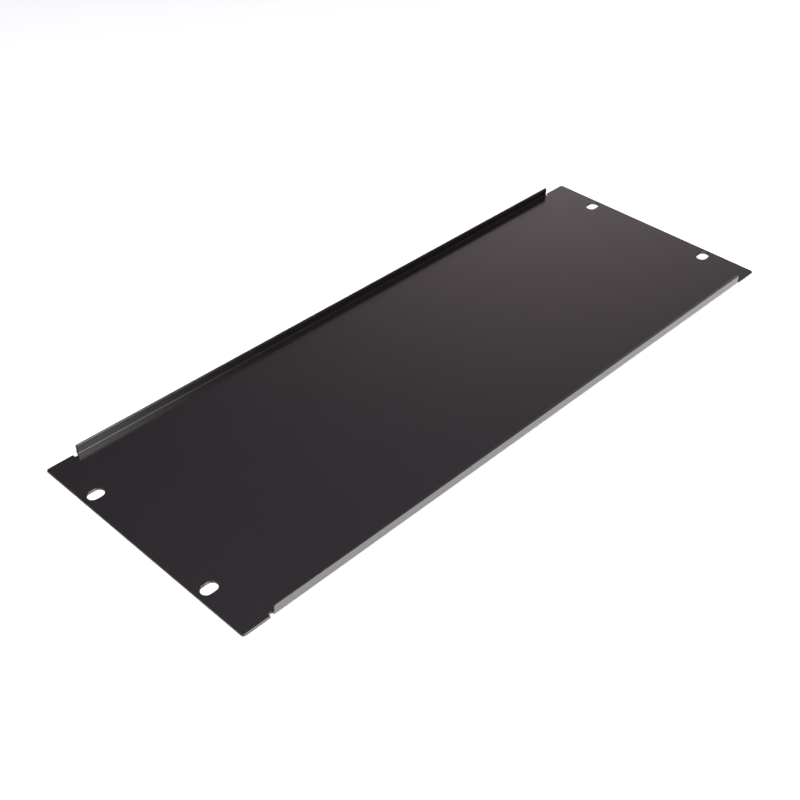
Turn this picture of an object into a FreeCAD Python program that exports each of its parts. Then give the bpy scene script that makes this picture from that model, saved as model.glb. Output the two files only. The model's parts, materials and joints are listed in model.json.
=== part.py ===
import FreeCAD, Part
import math
import os

# Flanged blanking panel for a 19-inch rack: one steel sheet, punched, notched and folded.
# Millimetres. The origin is the middle of the front face, which lies on z = 0. +X runs along the
# panel, +Y across it (its height in the rack), and +Z towards the back, where both flanges stand.

# Opening that the panel closes
RACK_UNITS = 4
UNIT_HEIGHT = 44.45
HEIGHT_CLEARANCE = 0.8      # left free between neighbouring panels
PANEL_WIDTH = 482.6

# Sheet and folds
SHEET = 1.5                 # thickness
BEND_INNER_RADIUS = 0.3
FLANGE_HEIGHT = 7.4         # front face to the flange's free edge
FLANGE_CORNER_RADIUS = 1.0  # both ends of the free edge

# Ears: the flat ends, which lie on the posts of the rack
EAR_WIDTH = 21.3
EAR_CORNER_RADIUS = 2.0

# Relief notch between an ear and the end of a flange
RELIEF_WIDTH = 2.2
RELIEF_OVERRUN = 0.4        # how far the notch runs in past the line where the bend starts
RELIEF_FLOOR_RADIUS = 0.3
RELIEF_LIP_RADIUS = 0.8     # corner of the ear beside the notch

# Oblong slots for the rack screws, one near each corner
SLOT_LENGTH = 10.5
SLOT_WIDTH = 7.0
SLOT_FROM_END = 8.75        # slot centre to the end of the ear
SLOT_FROM_EDGE = 37.7       # slot centre to the long edge

# Worked out from the sizes above
HALF_WIDTH = PANEL_WIDTH / 2
HALF_HEIGHT = (RACK_UNITS * UNIT_HEIGHT - HEIGHT_CLEARANCE) / 2
HALF_FLANGE = HALF_WIDTH - EAR_WIDTH
EAR_START = HALF_FLANGE + RELIEF_WIDTH
BEND_OUTER_RADIUS = BEND_INNER_RADIUS + SHEET
BEND_LINE = HALF_HEIGHT - BEND_OUTER_RADIUS
RELIEF_FLOOR = BEND_LINE - RELIEF_OVERRUN
SLOT_X = HALF_WIDTH - SLOT_FROM_END
SLOT_Y = HALF_HEIGHT - SLOT_FROM_EDGE

TOLERANCE = 1e-6
X = FreeCAD.Vector(1, 0, 0)
Y = FreeCAD.Vector(0, 1, 0)
Z = FreeCAD.Vector(0, 0, 1)
ORIGIN = FreeCAD.Vector(0, 0, 0)


def rounded_face(corners, across, up):
    """Flat face inside right-angled corners, each (place across, place up, radius), in order."""
    points = [across * a + up * b for a, b, _ in corners]
    count = len(points)
    edges = []
    runs = []
    for i, (_, _, radius) in enumerate(corners):
        back = (points[i - 1] - points[i]).normalize() * radius
        ahead = (points[(i + 1) % count] - points[i]).normalize() * radius
        middle = points[i] + (back + ahead) * (1 - math.sqrt(0.5))
        runs.append((points[i] + back, points[i] + ahead))
        if radius > TOLERANCE:
            edges.append(Part.Arc(points[i] + back, middle, points[i] + ahead).toShape())
    for i in range(count):
        start = runs[i][1]
        end = runs[(i + 1) % count][0]
        if start.distanceToPoint(end) > TOLERANCE:
            edges.append(Part.LineSegment(start, end).toShape())
    return Part.Face(Part.Wire(Part.__sortEdges__(edges)))


def flat_plate():
    """The part of the sheet that stays flat: the front with its two ears and four notches."""
    floor_radius = min(RELIEF_FLOOR_RADIUS, RELIEF_OVERRUN, RELIEF_WIDTH / 2)
    quarter = [
        (HALF_FLANGE, BEND_LINE, 0),
        (HALF_FLANGE, RELIEF_FLOOR, floor_radius),
        (EAR_START, RELIEF_FLOOR, floor_radius),
        (EAR_START, HALF_HEIGHT, RELIEF_LIP_RADIUS),
        (HALF_WIDTH, HALF_HEIGHT, EAR_CORNER_RADIUS),
    ]
    right = quarter + [(x, -y, radius) for x, y, radius in reversed(quarter)]
    left = [(-x, y, radius) for x, y, radius in reversed(right)]
    return rounded_face(right + left, X, Y).extrude(Z * SHEET)


def flange():
    """The fold along the +Y edge: its quarter-round bend and the straight leg above it."""
    section = [
        (BEND_LINE, 0, 0),
        (HALF_HEIGHT, 0, BEND_OUTER_RADIUS),
        (HALF_HEIGHT, FLANGE_HEIGHT, 0),
        (HALF_HEIGHT - SHEET, FLANGE_HEIGHT, 0),
        (HALF_HEIGHT - SHEET, SHEET, BEND_INNER_RADIUS),
        (BEND_LINE, SHEET, 0),
    ]
    fold = rounded_face(section, Y, Z).extrude(X * 2 * HALF_FLANGE)
    fold.translate(X * -HALF_FLANGE)
    end_corners = [
        edge for edge in fold.Edges
        if edge.BoundBox.ZMin > FLANGE_HEIGHT - TOLERANCE and edge.BoundBox.XLength < TOLERANCE
    ]
    return fold.makeFillet(FLANGE_CORNER_RADIUS, end_corners)


def slot_punch(x, y):
    """Tool for one slot with round ends, long way along X, deep enough to pass both faces."""
    half_length = SLOT_LENGTH / 2
    half_slot = SLOT_WIDTH / 2
    corners = [
        (x - half_length, y - half_slot, half_slot),
        (x + half_length, y - half_slot, half_slot),
        (x + half_length, y + half_slot, half_slot),
        (x - half_length, y + half_slot, half_slot),
    ]
    punch = rounded_face(corners, X, Y).extrude(Z * 3 * SHEET)
    punch.translate(Z * -SHEET)
    return punch


def panel():
    """The finished panel: both flanges joined to the plate, and the slots punched."""
    far_flange = flange()
    near_flange = far_flange.mirror(ORIGIN, Y)
    folded = flat_plate().fuse([far_flange, near_flange])
    punches = [slot_punch(x, y) for x in (-SLOT_X, SLOT_X) for y in (-SLOT_Y, SLOT_Y)]
    return folded.cut(punches).removeSplitter()


def only_solid(shape):
    """The one solid that a joined shape has to be."""
    if len(shape.Solids) != 1 or not shape.isValid():
        raise ValueError("the panel is not one sound solid")
    return shape.Solids[0]


os.makedirs("parts", exist_ok=True)
only_solid(panel()).exportStep("parts/panel.step")
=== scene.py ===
import json
import math

import bpy
from mathutils import Matrix, Vector


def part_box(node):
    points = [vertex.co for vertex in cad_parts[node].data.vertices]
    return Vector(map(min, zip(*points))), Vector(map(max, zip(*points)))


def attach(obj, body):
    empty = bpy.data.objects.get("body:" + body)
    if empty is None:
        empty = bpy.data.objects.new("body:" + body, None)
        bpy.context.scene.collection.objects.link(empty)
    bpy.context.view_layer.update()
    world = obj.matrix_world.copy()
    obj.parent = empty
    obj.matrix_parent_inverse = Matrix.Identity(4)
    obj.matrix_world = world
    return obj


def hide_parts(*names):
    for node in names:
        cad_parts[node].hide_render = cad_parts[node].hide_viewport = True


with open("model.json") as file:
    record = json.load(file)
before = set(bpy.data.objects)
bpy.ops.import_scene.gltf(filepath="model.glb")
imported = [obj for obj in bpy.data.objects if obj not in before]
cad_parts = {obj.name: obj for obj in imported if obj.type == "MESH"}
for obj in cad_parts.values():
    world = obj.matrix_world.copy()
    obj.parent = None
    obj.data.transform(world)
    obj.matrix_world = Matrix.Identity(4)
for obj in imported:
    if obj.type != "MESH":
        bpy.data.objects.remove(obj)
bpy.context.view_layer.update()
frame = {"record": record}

bl_info = {
    "name": "Rack Blanking Panel",
    "version": (1, 0, 0),
    "blender": (4, 5, 0),
    "location": "View3D > Sidebar > Rack Panel",
    "description": "A folded and powder-coated blanking panel for a 19-inch rack, on a plain studio floor",
    "category": "Add Mesh",
}

MM = 0.001

# Index of refraction of cured polyester resin with its pigment
POLYESTER_IOR = 1.6
# A noise texture's values mostly keep between these
NOISE_LOW, NOISE_HIGH = 0.3, 0.7

# Metres within which two points of a mesh are one
MERGE_DISTANCE = 1e-6
# Edges that turn more than this are cut edges, and are softened
RIM_ANGLE = math.radians(40)
RIM_SEGMENTS = 4
# Above 50, wide faces outweigh narrow ones where they share a normal
WIDE_FACE_WEIGHT = 90

# The paper on the floor. It is lifted a hair into the front face that lies on it, or the two would
# speckle from below. Its glow brings its white up to full, to the eye and in what gloss mirrors, and
# casts no light.
PAPER_LIFT = 0.02 * MM
PAPER_GLOW_TO_THE_EYE = 0.4
PAPER_GLOW_IN_GLOSS = 0.35
PAPER_FLAT_RADIUS = 4.0
PAPER_RISE_RADIUS = 1.5
PAPER_RISE_ANGLE = math.radians(60)

# Softboxes: name, place and size in metres, turn, watts, and whether they show in gloss. The fill is
# there for the paper. It is kept out of gloss, because a black panel would show it as a white block.
LAMPS = (
    ("front_softbox", (0.43, -1.27, 1.60), (0.62, 2.80), math.radians(10), 32.5, True),
    ("left_fill", (-0.75, -0.20, 0.60), (0.70, 1.20), 0.0, 11.0, False),
)

# In millimetres, as the lens is
SENSOR_WIDTH = 36.0

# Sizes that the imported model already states
PANEL_LOW, PANEL_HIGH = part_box("panel")
MOUNTS = {mount["name"]: mount for mount in frame["record"]["mounts"]}
SLOT_PATTERN = MOUNTS["rack_slots"]["dims"]
SHEET_THICKNESS = MOUNTS["left_ear_back"]["pos_m"][2]


# ---------------------------------------------------------------- settings

def length_setting(name, description, metres, low=0.0):
    return bpy.props.FloatProperty(
        name=name, description=description, default=metres, min=low, unit="LENGTH", subtype="DISTANCE"
    )


def angle_setting(name, description, degrees):
    return bpy.props.FloatProperty(
        name=name, description=description, default=math.radians(degrees), subtype="ANGLE"
    )


def level_setting(name, description, level):
    return bpy.props.FloatProperty(name=name, description=description, default=level, min=0.0)


def share_setting(name, description, share):
    return bpy.props.FloatProperty(
        name=name, description=description, default=share, min=0.0, max=1.0, subtype="FACTOR"
    )


def colour_setting(name, description, hex_colour):
    return bpy.props.FloatVectorProperty(
        name=name, description=description, default=linear(hex_colour)[:3], min=0.0, max=1.0,
        size=3, subtype="COLOR",
    )


def linear(hex_colour):
    """The linear colour, with alpha, of an sRGB colour written as six hex digits."""
    channels = [int(hex_colour[i:i + 2], 16) / 255 for i in (0, 2, 4)]
    return [c / 12.92 if c <= 0.04045 else ((c + 0.055) / 1.055) ** 2.4 for c in channels] + [1.0]


class RackPanelSheet(bpy.types.PropertyGroup):
    """The sheet's sizes: those of the blank's outline, its folds and its punched slots."""

    length: length_setting("Length", "End to end of the ears", PANEL_HIGH.x - PANEL_LOW.x)
    height: length_setting("Height", "Outer face to outer face of the flanges", PANEL_HIGH.y - PANEL_LOW.y)
    sheet: length_setting("Sheet", "Thickness of the coated sheet", SHEET_THICKNESS)
    flange_height: length_setting(
        "Flange height", "Front face to the flange's free edge", PANEL_HIGH.z - PANEL_LOW.z
    )
    bend_inner_radius: length_setting("Bend radius", "Inside radius of both folds", 0.3 * MM)
    flange_corner_radius: length_setting("Flange corner", "Radius at both ends of a free edge", 1.0 * MM)
    ear_width: length_setting("Ear width", "Flat end that lies on the rack's post", 21.3 * MM)
    ear_corner_radius: length_setting("Ear corner", "Radius of the panel's four corners", 2.0 * MM)
    relief_width: length_setting("Relief width", "Notch between an ear and a flange", 2.2 * MM)
    relief_overrun: length_setting("Relief overrun", "Notch depth past the line of the bend", 0.4 * MM)
    relief_floor_radius: length_setting("Relief floor radius", "Corners of the notch's floor", 0.3 * MM)
    relief_lip_radius: length_setting("Relief lip radius", "Corner of the ear beside the notch", 0.8 * MM)
    slot_length: length_setting(
        "Slot length", "End to end of a screw slot", SLOT_PATTERN["slot_length_mm"] * MM
    )
    slot_width: length_setting("Slot width", "Across a screw slot", 2 * SLOT_PATTERN["hole_r_mm"] * MM)
    slot_spacing_x: length_setting("Slot spacing along", "Slot to slot", SLOT_PATTERN["spacing_x_mm"] * MM)
    slot_spacing_y: length_setting("Slot spacing across", "Slot to slot", SLOT_PATTERN["spacing_y_mm"] * MM)
    back_edge_radius: length_setting("Back edges", "Radius of the cut edges that the punch drew in", 0.6 * MM)
    front_edge_radius: length_setting("Front edges", "Radius of the cut edges on the front", 0.3 * MM)
    arc_steps: bpy.props.IntProperty(
        name="Arc steps", description="Flat steps in each quarter turn", default=8, min=2, max=32
    )


class RackPanelCoat(bpy.types.PropertyGroup):
    """The powder coat's colours and surface."""

    black: colour_setting("Black", "The coat's main colour", "140F12")
    brown_black: colour_setting("Brown black", "What the main colour drifts to", "150F10")
    drift_width: length_setting("Drift", "Size of the patches of either colour: a hand's width", 90 * MM)
    peel_width: length_setting("Orange peel", "Wave to wave of the coat's shallow ripple", 2.2 * MM)
    peel_depth: length_setting("Ripple depth", "Height of the orange peel's ripple", 0.0025 * MM)
    grain_width: length_setting("Grain", "Size of the powder's own fine grain", 0.45 * MM)
    grain_depth: length_setting("Grain depth", "Height of the fine grain", 0.0006 * MM)
    roughness: share_setting("Roughness", "How far the pigment blurs a reflection", 0.22)
    uneven: share_setting("Unevenness", "How far the pigment's roughness strays either way", 0.02)
    uneven_width: length_setting("Uneven patches", "Size of the patches where the roughness strays", 35 * MM)
    skin_roughness: share_setting(
        "Skin roughness", "How far the clear skin over the pigment blurs a reflection", 0.2
    )


class RackPanelStudio(bpy.types.PropertyGroup):
    """The floor, the room and the camera."""

    floor_colour: colour_setting("Floor", "Pale paper under the panel", "F2F2F2")
    room_colour: colour_setting("Room", "Walls and ceiling of the room", "F0E9FA")
    room_light: level_setting("Room light", "How bright the room is all round", 0.03)
    ceiling_light: level_setting("Ceiling light", "How much brighter the room is straight up", 0.50)
    ceiling_falloff: level_setting("Ceiling falloff", "How fast the ceiling's light fades to the sides", 4.0)
    wall_colour: colour_setting("Lit wall", "The one wall that a window lights", "FFEDEE")
    wall_light: level_setting("Wall light", "How bright the lit wall's middle is", 0.96)
    wall_falloff: level_setting("Wall falloff", "How fast the lit wall fades round its middle", 28.0)
    wall_azimuth: angle_setting("Wall azimuth", "Turn of the lit wall's middle from +Y towards +X", 53.0)
    wall_elevation: angle_setting("Wall elevation", "Height of the lit wall's middle, as an angle", 16.0)
    camera_azimuth: angle_setting("Azimuth", "Camera's turn round the panel; 0 looks along +Y", -46.63)
    camera_elevation: angle_setting("Elevation", "Camera's height above the floor", 38.86)
    camera_roll: angle_setting("Roll", "Camera's lean about its own line of sight", 1.21)
    camera_distance: length_setting("Distance", "Camera to the point that it looks at", 778.3 * MM)
    looked_at_x: length_setting(
        "Looked at, along", "Middle of the view along the panel", -46.8 * MM, low=-1.0
    )
    looked_at_y: length_setting(
        "Looked at, across", "Middle of the view across the panel", -10.5 * MM, low=-1.0
    )
    lens: bpy.props.FloatProperty(
        name="Lens", description="Focal length on a 36 mm sensor, in millimetres", default=55.70, min=1.0
    )


# ---------------------------------------------------------------- helpers

def add_node(tree, kind, inputs=None, **settings):
    """Add a node, give it its settings, and fill its inputs with plain values or links.

    A link is another node, which stands for its first output, or one of a node's sockets. A list is
    several links into one socket.
    """
    node = tree.nodes.new(kind)
    for name, value in settings.items():
        setattr(node, name, value)
    for key, value in (inputs or {}).items():
        for source in value if isinstance(value, list) else [value]:
            if isinstance(source, bpy.types.Node):
                source = source.outputs[0]
            if isinstance(source, bpy.types.NodeSocket):
                tree.links.new(source, node.inputs[key])
            else:
                node.inputs[key].default_value = source
    return node


def maths(tree, operation, *values):
    """A Math node on plain values or links."""
    return add_node(tree, "ShaderNodeMath", dict(enumerate(values)), operation=operation)


def new_object(name, data):
    piece = bpy.data.objects.new(name, data)
    bpy.context.scene.collection.objects.link(piece)
    return piece


# ---------------------------------------------------------------- material

def powder_coat(coat):
    """Semi-gloss polyester powder coat, sprayed on and baked.

    The cured skin is smooth with a shallow orange peel, so it mirrors the room softly and the black
    under it stays deep. Its resin sits on the pigment as a clear layer does, which the coat stands for.
    """
    material = bpy.data.materials.new("Black powder coat")
    material.use_nodes = True
    tree = material.node_tree
    tree.nodes.clear()

    place = add_node(tree, "ShaderNodeTexCoord").outputs["Object"]
    drift, uneven, peel, grain = (
        add_node(tree, "ShaderNodeTexNoise", {"Vector": place, "Scale": 1 / width, "Detail": detail})
        for width, detail in (
            (coat.drift_width, 2.0), (coat.uneven_width, 3.0), (coat.peel_width, 1.0), (coat.grain_width, 2.0)
        )
    )
    # Sockets 6 and 7, and output 2, are the Mix node's own for colours
    tint = add_node(
        tree, "ShaderNodeMix",
        {"Factor": drift, 6: (*coat.black, 1.0), 7: (*coat.brown_black, 1.0)},
        data_type="RGBA",
    )
    roughness = add_node(
        tree, "ShaderNodeMapRange",
        {"Value": uneven, "From Min": NOISE_LOW, "From Max": NOISE_HIGH,
         "To Min": coat.roughness - coat.uneven, "To Max": coat.roughness + coat.uneven},
    )
    peel_bump = add_node(
        tree, "ShaderNodeBump", {"Height": peel, "Strength": 1.0, "Distance": coat.peel_depth}
    )
    grain_bump = add_node(
        tree, "ShaderNodeBump",
        {"Height": grain, "Strength": 1.0, "Distance": coat.grain_depth, "Normal": peel_bump},
    )
    surface = add_node(
        tree, "ShaderNodeBsdfPrincipled",
        {"Base Color": tint.outputs[2], "Roughness": roughness, "IOR": POLYESTER_IOR, "Normal": grain_bump,
         "Coat Weight": 1.0, "Coat Roughness": coat.skin_roughness, "Coat IOR": POLYESTER_IOR,
         "Coat Normal": peel_bump},
    )
    add_node(tree, "ShaderNodeOutputMaterial", {"Surface": surface})
    return material


# ---------------------------------------------------------------- folded sheet

def blank_outline(sizes):
    """Corners of the sheet's flat part as (x, y, radius), in order round it.

    The two long stretches between the notches are where the flanges join on. Square corners beside
    each slot break the ear's long end edge, so the cuts that the fill makes to the slots are short.
    """
    half_length = sizes.length / 2
    half_height = sizes.height / 2
    half_flange = half_length - sizes.ear_width
    ear_start = half_flange + sizes.relief_width
    bend_line = half_height - sizes.sheet - sizes.bend_inner_radius
    relief_floor = bend_line - sizes.relief_overrun
    slot_middle = sizes.slot_spacing_y / 2
    quarter = [
        (half_flange, bend_line, 0.0),
        (half_flange, relief_floor, sizes.relief_floor_radius),
        (ear_start, relief_floor, sizes.relief_floor_radius),
        (ear_start, half_height, sizes.relief_lip_radius),
        (half_length, half_height, sizes.ear_corner_radius),
        (half_length, slot_middle + sizes.slot_width / 2, 0.0),
        (half_length, slot_middle - sizes.slot_width / 2, 0.0),
    ]
    right = quarter + [(x, -y, radius) for x, y, radius in reversed(quarter)]
    return right + [(-x, y, radius) for x, y, radius in reversed(right)]


def outline_mesh(corners):
    """The outline as a loop of edges, with each corner's radius as an attribute."""
    mesh = bpy.data.meshes.new("blank")
    count = len(corners)
    mesh.from_pydata([(x, y, 0.0) for x, y, _ in corners], [(i, (i + 1) % count) for i in range(count)], [])
    radius = mesh.attributes.new("corner_radius", "FLOAT", "POINT")
    radius.data.foreach_set("value", [r for _, _, r in corners])
    return mesh


def start_tree(name, sizes, counts=()):
    """A modifier's tree with named inputs, with its input sockets and each point's X, Y and Z."""
    tree = bpy.data.node_groups.new(name, "GeometryNodeTree")
    tree.is_modifier = True
    inputs = [
        ("Geometry", "NodeSocketGeometry"),
        *((size, "NodeSocketFloat") for size in sizes),
        *((count, "NodeSocketInt") for count in counts),
        ("Material", "NodeSocketMaterial"),
    ]
    for socket_name, kind in inputs:
        tree.interface.new_socket(socket_name, in_out="INPUT", socket_type=kind)
    tree.interface.new_socket("Geometry", in_out="OUTPUT", socket_type="NodeSocketGeometry")
    place = add_node(tree, "GeometryNodeInputPosition")
    axes = add_node(tree, "ShaderNodeSeparateXYZ", {0: place}).outputs
    return tree, add_node(tree, "NodeGroupInput").outputs, axes


def end_tree(tree, geometry, material):
    """The tree's result: real geometry with its material."""
    whole = add_node(tree, "GeometryNodeRealizeInstances", {0: geometry})
    coated = add_node(tree, "GeometryNodeSetMaterial", {"Geometry": whole, "Material": material})
    add_node(tree, "NodeGroupOutput", {0: coated})
    return tree


def punch_tree():
    """Geometry nodes for the punched blank, still flat: plate, bend strips and legs of one sheet."""
    sizes = (
        "Sheet", "Bend Line", "Bend Length", "Leg", "Half Flange", "Flange Corner Radius",
        "Slot Length", "Slot Width", "Slot Spacing X", "Slot Spacing Y", "Front Edge Share",
    )
    tree, given, axes = start_tree("Punched blank", sizes, ("Arc Steps",))
    steps = given["Arc Steps"]

    # The plate's outline with its corners rounded
    radius = add_node(tree, "GeometryNodeInputNamedAttribute", {"Name": "corner_radius"}, data_type="FLOAT")
    outline = add_node(
        tree, "GeometryNodeFilletCurve",
        {"Curve": add_node(tree, "GeometryNodeMeshToCurve", {0: given["Geometry"]}),
         "Count": steps, "Radius": radius},
        mode="POLY",
    )

    # One slot: a circle whose two halves are drawn apart, set at each corner of a rectangle. The side
    # is taken a hair off the middle, so the points at the circle's top and bottom go with one half.
    circle = add_node(
        tree, "GeometryNodeCurvePrimitiveCircle",
        {"Resolution": maths(tree, "MULTIPLY", steps, 4.0),
         "Radius": maths(tree, "MULTIPLY", given["Slot Width"], 0.5)},
    )
    half_of = maths(tree, "SIGN", maths(tree, "ADD", axes["X"], MERGE_DISTANCE))
    straight = maths(tree, "SUBTRACT", given["Slot Length"], given["Slot Width"])
    pull = maths(tree, "MULTIPLY", half_of, maths(tree, "MULTIPLY", straight, 0.5))
    slot = add_node(
        tree, "GeometryNodeSetPosition",
        {"Geometry": circle, "Offset": add_node(tree, "ShaderNodeCombineXYZ", {"X": pull})},
    )
    slot_places = add_node(
        tree, "GeometryNodeMeshGrid",
        {"Size X": given["Slot Spacing X"], "Size Y": given["Slot Spacing Y"],
         "Vertices X": 2, "Vertices Y": 2},
    )
    slots = add_node(
        tree, "GeometryNodeRealizeInstances",
        {0: add_node(tree, "GeometryNodeInstanceOnPoints", {"Points": slot_places, "Instance": slot})},
    )
    cuts = add_node(tree, "GeometryNodeJoinGeometry", {0: [outline, slots]})
    plate = add_node(tree, "GeometryNodeFillCurve", {"Curve": cuts}, mode="NGONS")

    # One flange: the strips that bend, and beyond them the leg, with its two outer corners rounded
    flange_length = maths(tree, "MULTIPLY", given["Half Flange"], 2.0)
    strips = add_node(
        tree, "GeometryNodeMeshGrid",
        {"Size X": flange_length, "Size Y": given["Bend Length"], "Vertices X": 2,
         "Vertices Y": maths(tree, "ADD", steps, 1.0)},
    )
    strips_y = maths(tree, "MULTIPLY", given["Bend Length"], 0.5)
    leg_radius = maths(tree, "MULTIPLY", maths(tree, "GREATER_THAN", axes["Y"], 0.0),
                       given["Flange Corner Radius"])
    leg_outline = add_node(
        tree, "GeometryNodeFilletCurve",
        {"Curve": add_node(tree, "GeometryNodeCurvePrimitiveQuadrilateral",
                           {"Width": flange_length, "Height": given["Leg"]}),
         "Count": steps, "Radius": leg_radius},
        mode="POLY",
    )
    leg_y = maths(tree, "MULTIPLY_ADD", given["Leg"], 0.5, given["Bend Length"])
    flange_parts = [
        add_node(tree, "GeometryNodeTransform",
                 {"Geometry": part, "Translation": add_node(tree, "ShaderNodeCombineXYZ", {"Y": y})})
        for part, y in (
            (strips, strips_y),
            (add_node(tree, "GeometryNodeFillCurve", {"Curve": leg_outline}, mode="NGONS"), leg_y),
        )
    ]
    far_flange = add_node(
        tree, "GeometryNodeTransform",
        {"Geometry": add_node(tree, "GeometryNodeJoinGeometry", {0: flange_parts}),
         "Translation": add_node(tree, "ShaderNodeCombineXYZ", {"Y": given["Bend Line"]})},
    )
    near_flange = add_node(
        tree, "GeometryNodeTransform", {"Geometry": far_flange, "Rotation": (0.0, 0.0, math.pi)}
    )

    # Given its thickness: the front is a turned copy of the back
    parts = add_node(tree, "GeometryNodeJoinGeometry", {0: [plate, far_flange, near_flange]})
    flat = add_node(tree, "GeometryNodeMergeByDistance", {"Geometry": parts, "Distance": MERGE_DISTANCE})
    raised = add_node(
        tree, "GeometryNodeExtrudeMesh",
        {"Mesh": flat, "Offset": (0.0, 0.0, 1.0), "Offset Scale": given["Sheet"], "Individual": False},
        mode="FACES",
    )
    both = add_node(
        tree, "GeometryNodeJoinGeometry", {0: [raised, add_node(tree, "GeometryNodeFlipFaces", {0: flat})]}
    )
    blank = add_node(tree, "GeometryNodeMergeByDistance", {"Geometry": both, "Distance": MERGE_DISTANCE})

    # How far each rim edge is softened: all the way on the back, where the punch went in, less in front
    angle = add_node(tree, "GeometryNodeInputMeshEdgeAngle").outputs["Unsigned Angle"]
    is_rim = maths(tree, "GREATER_THAN", angle, RIM_ANGLE)
    on_back = maths(tree, "GREATER_THAN", axes["Z"], maths(tree, "MULTIPLY", given["Sheet"], 0.5))
    share = maths(tree, "MAXIMUM", on_back, given["Front Edge Share"])
    weighted = add_node(
        tree, "GeometryNodeStoreNamedAttribute",
        {"Geometry": blank, "Name": "bevel_weight_edge", "Value": maths(tree, "MULTIPLY", is_rim, share)},
        data_type="FLOAT", domain="EDGE",
    )
    return end_tree(tree, weighted, given["Material"])


def fold_tree():
    """Geometry nodes that fold both flanges up: what lies past a bend line is wrapped round the bend.

    The ears reach past the bend lines too. They lie outside the fold's half length, and stay flat.
    """
    sizes = ("Sheet", "Bend Inner Radius", "Bend Line", "Bend Length", "Fold Half Length")
    tree, given, axes = start_tree("Folded sheet", sizes)
    side = maths(tree, "SIGN", axes["Y"])
    across = maths(tree, "ABSOLUTE", axes["Y"])
    past = maths(tree, "SUBTRACT", across, given["Bend Line"])
    turned = maths(
        tree, "MINIMUM", maths(tree, "MAXIMUM", maths(tree, "DIVIDE", past, given["Bend Length"]), 0.0), 1.0
    )
    angle = maths(tree, "MULTIPLY", turned, math.pi / 2)
    beyond = maths(tree, "MAXIMUM", maths(tree, "SUBTRACT", past, given["Bend Length"]), 0.0)
    outer = maths(tree, "ADD", given["Bend Inner Radius"], given["Sheet"])
    reach = maths(tree, "SUBTRACT", outer, axes["Z"])
    flat_y = maths(tree, "MINIMUM", across, given["Bend Line"])
    folded_y = maths(
        tree, "MULTIPLY", side, maths(tree, "MULTIPLY_ADD", reach, maths(tree, "SINE", angle), flat_y)
    )
    drop = maths(tree, "MULTIPLY", reach, maths(tree, "COSINE", angle))
    folded_z = maths(tree, "ADD", maths(tree, "SUBTRACT", outer, drop), beyond)
    folded = add_node(
        tree, "GeometryNodeSetPosition",
        {"Geometry": given["Geometry"],
         "Selection": maths(tree, "LESS_THAN", maths(tree, "ABSOLUTE", axes["X"]), given["Fold Half Length"]),
         "Position": add_node(tree, "ShaderNodeCombineXYZ", {"X": axes["X"], "Y": folded_y, "Z": folded_z})},
    )
    smooth = add_node(tree, "GeometryNodeSetShadeSmooth", {"Geometry": folded})
    return end_tree(tree, smooth, given["Material"])


def add_tree(piece, tree, values):
    """Put a tree on a piece as a modifier and fill its inputs by their identifiers."""
    modifier = piece.modifiers.new(tree.name, "NODES")
    modifier.node_group = tree
    for socket in tree.interface.items_tree:
        if socket.in_out == "INPUT" and socket.name in values:
            modifier[socket.identifier] = values[socket.name]


def finished_mesh(piece, name):
    """A plain mesh of what a piece's modifiers make."""
    depsgraph = bpy.context.evaluated_depsgraph_get()
    mesh = bpy.data.meshes.new_from_object(
        piece.evaluated_get(depsgraph), preserve_all_data_layers=True, depsgraph=depsgraph
    )
    mesh.name = name
    return mesh


class RACKPANEL_OT_fold_sheet(bpy.types.Operator):
    """Punch, notch and fold the sheet, soften its edges and coat it"""

    bl_idname = "rackpanel.fold_sheet"
    bl_label = "Folded Panel"

    def execute(self, context):
        sizes = context.scene.rackpanel_sheet
        coat = powder_coat(context.scene.rackpanel_coat)
        piece = new_object("folded_panel", outline_mesh(blank_outline(sizes)))
        half_flange = sizes.length / 2 - sizes.ear_width
        outer_radius = sizes.bend_inner_radius + sizes.sheet
        values = {
            "Sheet": sizes.sheet,
            "Bend Inner Radius": sizes.bend_inner_radius,
            "Bend Line": sizes.height / 2 - outer_radius,
            "Bend Length": math.pi / 2 * (sizes.bend_inner_radius + sizes.sheet / 2),
            "Leg": sizes.flange_height - outer_radius,
            "Half Flange": half_flange,
            "Fold Half Length": half_flange + sizes.relief_width / 2,
            "Flange Corner Radius": sizes.flange_corner_radius,
            "Slot Length": sizes.slot_length,
            "Slot Width": sizes.slot_width,
            "Slot Spacing X": sizes.slot_spacing_x,
            "Slot Spacing Y": sizes.slot_spacing_y,
            "Front Edge Share": sizes.front_edge_radius / sizes.back_edge_radius,
            "Arc Steps": sizes.arc_steps,
            "Material": coat,
        }
        add_tree(piece, punch_tree(), values)
        soften = piece.modifiers.new("Soft edges", "BEVEL")
        soften.width = sizes.back_edge_radius
        soften.segments = RIM_SEGMENTS
        soften.limit_method = "WEIGHT"
        soften.use_clamp_overlap = False
        add_tree(piece, fold_tree(), values)
        flats = piece.modifiers.new("Flat faces stay flat", "WEIGHTED_NORMAL")
        flats.weight = WIDE_FACE_WEIGHT

        mesh = finished_mesh(piece, "folded_panel")
        if not mesh.polygons:
            raise RuntimeError("the folded sheet came out empty")
        piece.modifiers.clear()
        piece.data = mesh
        for name in ("bevel_weight_edge", "corner_radius"):
            if name in mesh.attributes:
                mesh.attributes.remove(mesh.attributes[name])
        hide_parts("panel")
        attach(piece, "root")
        return {"FINISHED"}


# ---------------------------------------------------------------- studio

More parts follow.
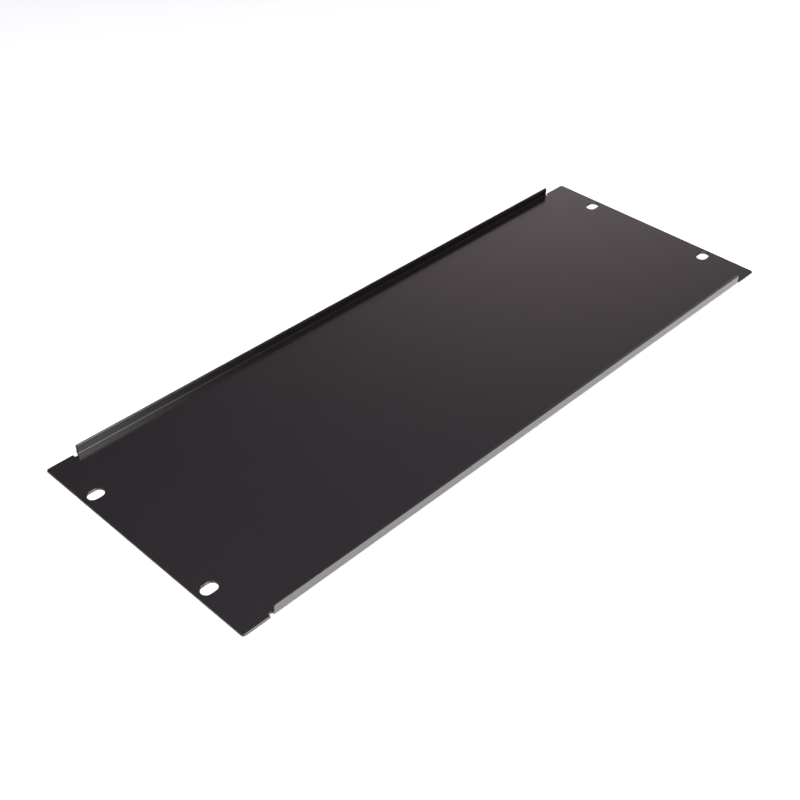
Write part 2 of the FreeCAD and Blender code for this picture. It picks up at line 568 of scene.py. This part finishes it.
def floor_material(colour):
    """Matt white paper. It takes the panel's shadow, and shows as white to the eye and in gloss."""
    material = bpy.data.materials.new("White paper")
    material.use_nodes = True
    tree = material.node_tree
    tree.nodes.clear()
    rays = add_node(tree, "ShaderNodeLightPath").outputs
    in_gloss = maths(tree, "MAXIMUM", rays["Is Glossy Ray"], rays["Is Transmission Ray"])
    to_the_eye = maths(tree, "MULTIPLY", rays["Is Camera Ray"], PAPER_GLOW_TO_THE_EYE)
    glow = maths(tree, "MULTIPLY_ADD", in_gloss, PAPER_GLOW_IN_GLOSS, to_the_eye)
    surface = add_node(
        tree, "ShaderNodeBsdfPrincipled",
        {"Base Color": (*colour, 1.0), "Roughness": 0.9, "Specular IOR Level": 0.0,
         "Emission Color": (1.0, 1.0, 1.0, 1.0), "Emission Strength": glow},
    )
    add_node(tree, "ShaderNodeOutputMaterial", {"Surface": surface})
    return material


def add_lamp(name, place, size, turn, power, in_gloss):
    """A rectangular softbox that hangs level, turned about the vertical, and shines straight down."""
    data = bpy.data.lights.new(name, "AREA")
    data.shape = "RECTANGLE"
    data.size, data.size_y = size
    data.energy = power
    lamp = new_object(name, data)
    lamp.location = place
    lamp.rotation_euler.z = turn
    lamp.visible_glossy = in_gloss


def paper_sweep(colour):
    """A flat floor that curves up far away, so that its edge stays out of sight."""
    rings, spokes = 24, 96
    verts = [(0.0, 0.0, PAPER_LIFT)]
    for ring in range(rings + 1):
        rise = PAPER_RISE_ANGLE * ring / rings
        radius = PAPER_FLAT_RADIUS + PAPER_RISE_RADIUS * math.sin(rise)
        height = PAPER_RISE_RADIUS * (1 - math.cos(rise)) + PAPER_LIFT
        for spoke in range(spokes):
            turn = 2 * math.pi * spoke / spokes
            verts.append((radius * math.cos(turn), radius * math.sin(turn), height))
    faces = [(0, 1 + i, 1 + (i + 1) % spokes) for i in range(spokes)]
    for ring in range(rings):
        inner, outer = 1 + ring * spokes, 1 + (ring + 1) * spokes
        for i in range(spokes):
            j = (i + 1) % spokes
            faces.append((inner + i, outer + i, outer + j, inner + j))
    mesh = bpy.data.meshes.new("floor")
    mesh.from_pydata(verts, [], faces)
    for polygon in mesh.polygons:
        polygon.use_smooth = True
    mesh.materials.append(floor_material(colour))
    return new_object("floor", mesh)


def studio_world(studio):
    """A room round the paper: dim walls, a pale ceiling, and one wall that a window lights, low down."""
    world = bpy.data.worlds.new("Studio")
    world.use_nodes = True
    tree = world.node_tree
    tree.nodes.clear()
    toward = add_node(tree, "ShaderNodeTexCoord").outputs["Generated"]
    height = add_node(tree, "ShaderNodeSeparateXYZ", {0: toward}).outputs["Z"]
    overhead = maths(tree, "POWER", maths(tree, "MAXIMUM", height, 0.0), studio.ceiling_falloff)
    azimuth, elevation = studio.wall_azimuth, studio.wall_elevation
    wall_middle = (
        math.sin(azimuth) * math.cos(elevation), math.cos(azimuth) * math.cos(elevation), math.sin(elevation)
    )
    facing = add_node(
        tree, "ShaderNodeVectorMath", {0: toward, 1: wall_middle}, operation="DOT_PRODUCT"
    ).outputs["Value"]
    near_wall = maths(tree, "POWER", maths(tree, "MAXIMUM", facing, 0.0), studio.wall_falloff)
    room, ceiling, wall = (
        add_node(tree, "ShaderNodeBackground", {"Color": (*colour, 1.0), "Strength": strength})
        for colour, strength in (
            (studio.room_colour, studio.room_light),
            (studio.room_colour, maths(tree, "MULTIPLY", overhead, studio.ceiling_light)),
            (studio.wall_colour, maths(tree, "MULTIPLY", near_wall, studio.wall_light)),
        )
    )
    room_and_ceiling = add_node(tree, "ShaderNodeAddShader", {0: room, 1: ceiling})
    everything = add_node(tree, "ShaderNodeAddShader", {0: room_and_ceiling, 1: wall})
    add_node(tree, "ShaderNodeOutputWorld", {"Surface": everything})
    bpy.context.scene.world = world


def add_camera(studio):
    data = bpy.data.cameras.new("camera")
    data.sensor_width = SENSOR_WIDTH
    data.lens = studio.lens
    data.clip_start, data.clip_end = 0.01, 100.0
    camera = new_object("camera", data)
    azimuth, elevation, roll = studio.camera_azimuth, studio.camera_elevation, studio.camera_roll
    back = Vector((
        math.sin(azimuth) * math.cos(elevation),
        -math.cos(azimuth) * math.cos(elevation),
        math.sin(elevation),
    ))
    right = Vector((math.cos(azimuth), math.sin(azimuth), 0.0))
    up = back.cross(right)
    leaned_right = right * math.cos(roll) + up * math.sin(roll)
    leaned_up = up * math.cos(roll) - right * math.sin(roll)
    turn = Matrix((leaned_right, leaned_up, back)).transposed()
    looked_at = Vector((studio.looked_at_x, studio.looked_at_y, 0.0))
    camera.matrix_world = Matrix.Translation(looked_at + back * studio.camera_distance) @ turn.to_4x4()
    bpy.context.scene.camera = camera


class RACKPANEL_OT_studio(bpy.types.Operator):
    """Lay the paper floor, set the lamps and the room, and place the camera"""

    bl_idname = "rackpanel.studio"
    bl_label = "Studio"

    def execute(self, context):
        studio = context.scene.rackpanel_studio
        floor = paper_sweep(studio.floor_colour)
        studio_world(studio)
        for lamp in LAMPS:
            add_lamp(*lamp)
        add_camera(studio)
        context.scene.view_settings.view_transform = "Standard"
        return {"FINISHED"}


# ---------------------------------------------------------------- interface

class RACKPANEL_PT_sidebar(bpy.types.Panel):
    """Lists the panel's sizes, its coat and the studio, with a button under the coat and one under the studio
    """

    bl_idname = "RACKPANEL_PT_sidebar"
    bl_label = "Rack Panel"
    bl_space_type = "VIEW_3D"
    bl_region_type = "UI"
    bl_category = "Rack Panel"

    def draw(self, context):
        layout = self.layout
        for title, group, operator in SECTIONS:
            box = layout.box()
            box.label(text=title)
            settings = getattr(context.scene, group)
            for name in settings.__class__.__annotations__:
                box.prop(settings, name)
            if operator:
                box.operator(operator)


SECTIONS = (
    ("Sheet", "rackpanel_sheet", None),
    ("Coat", "rackpanel_coat", RACKPANEL_OT_fold_sheet.bl_idname),
    ("Studio", "rackpanel_studio", RACKPANEL_OT_studio.bl_idname),
)
GROUPS = {
    "rackpanel_sheet": RackPanelSheet,
    "rackpanel_coat": RackPanelCoat,
    "rackpanel_studio": RackPanelStudio,
}
CLASSES = (*GROUPS.values(), RACKPANEL_OT_fold_sheet, RACKPANEL_OT_studio, RACKPANEL_PT_sidebar)


def register():
    for cls in CLASSES:
        bpy.utils.register_class(cls)
    for name, group in GROUPS.items():
        setattr(bpy.types.Scene, name, bpy.props.PointerProperty(type=group))


def unregister():
    for name in GROUPS:
        delattr(bpy.types.Scene, name)
    for cls in reversed(CLASSES):
        bpy.utils.unregister_class(cls)


def main():
    register()
    bpy.ops.rackpanel.fold_sheet()
    bpy.ops.rackpanel.studio()


if __name__ == "__main__":
    main()
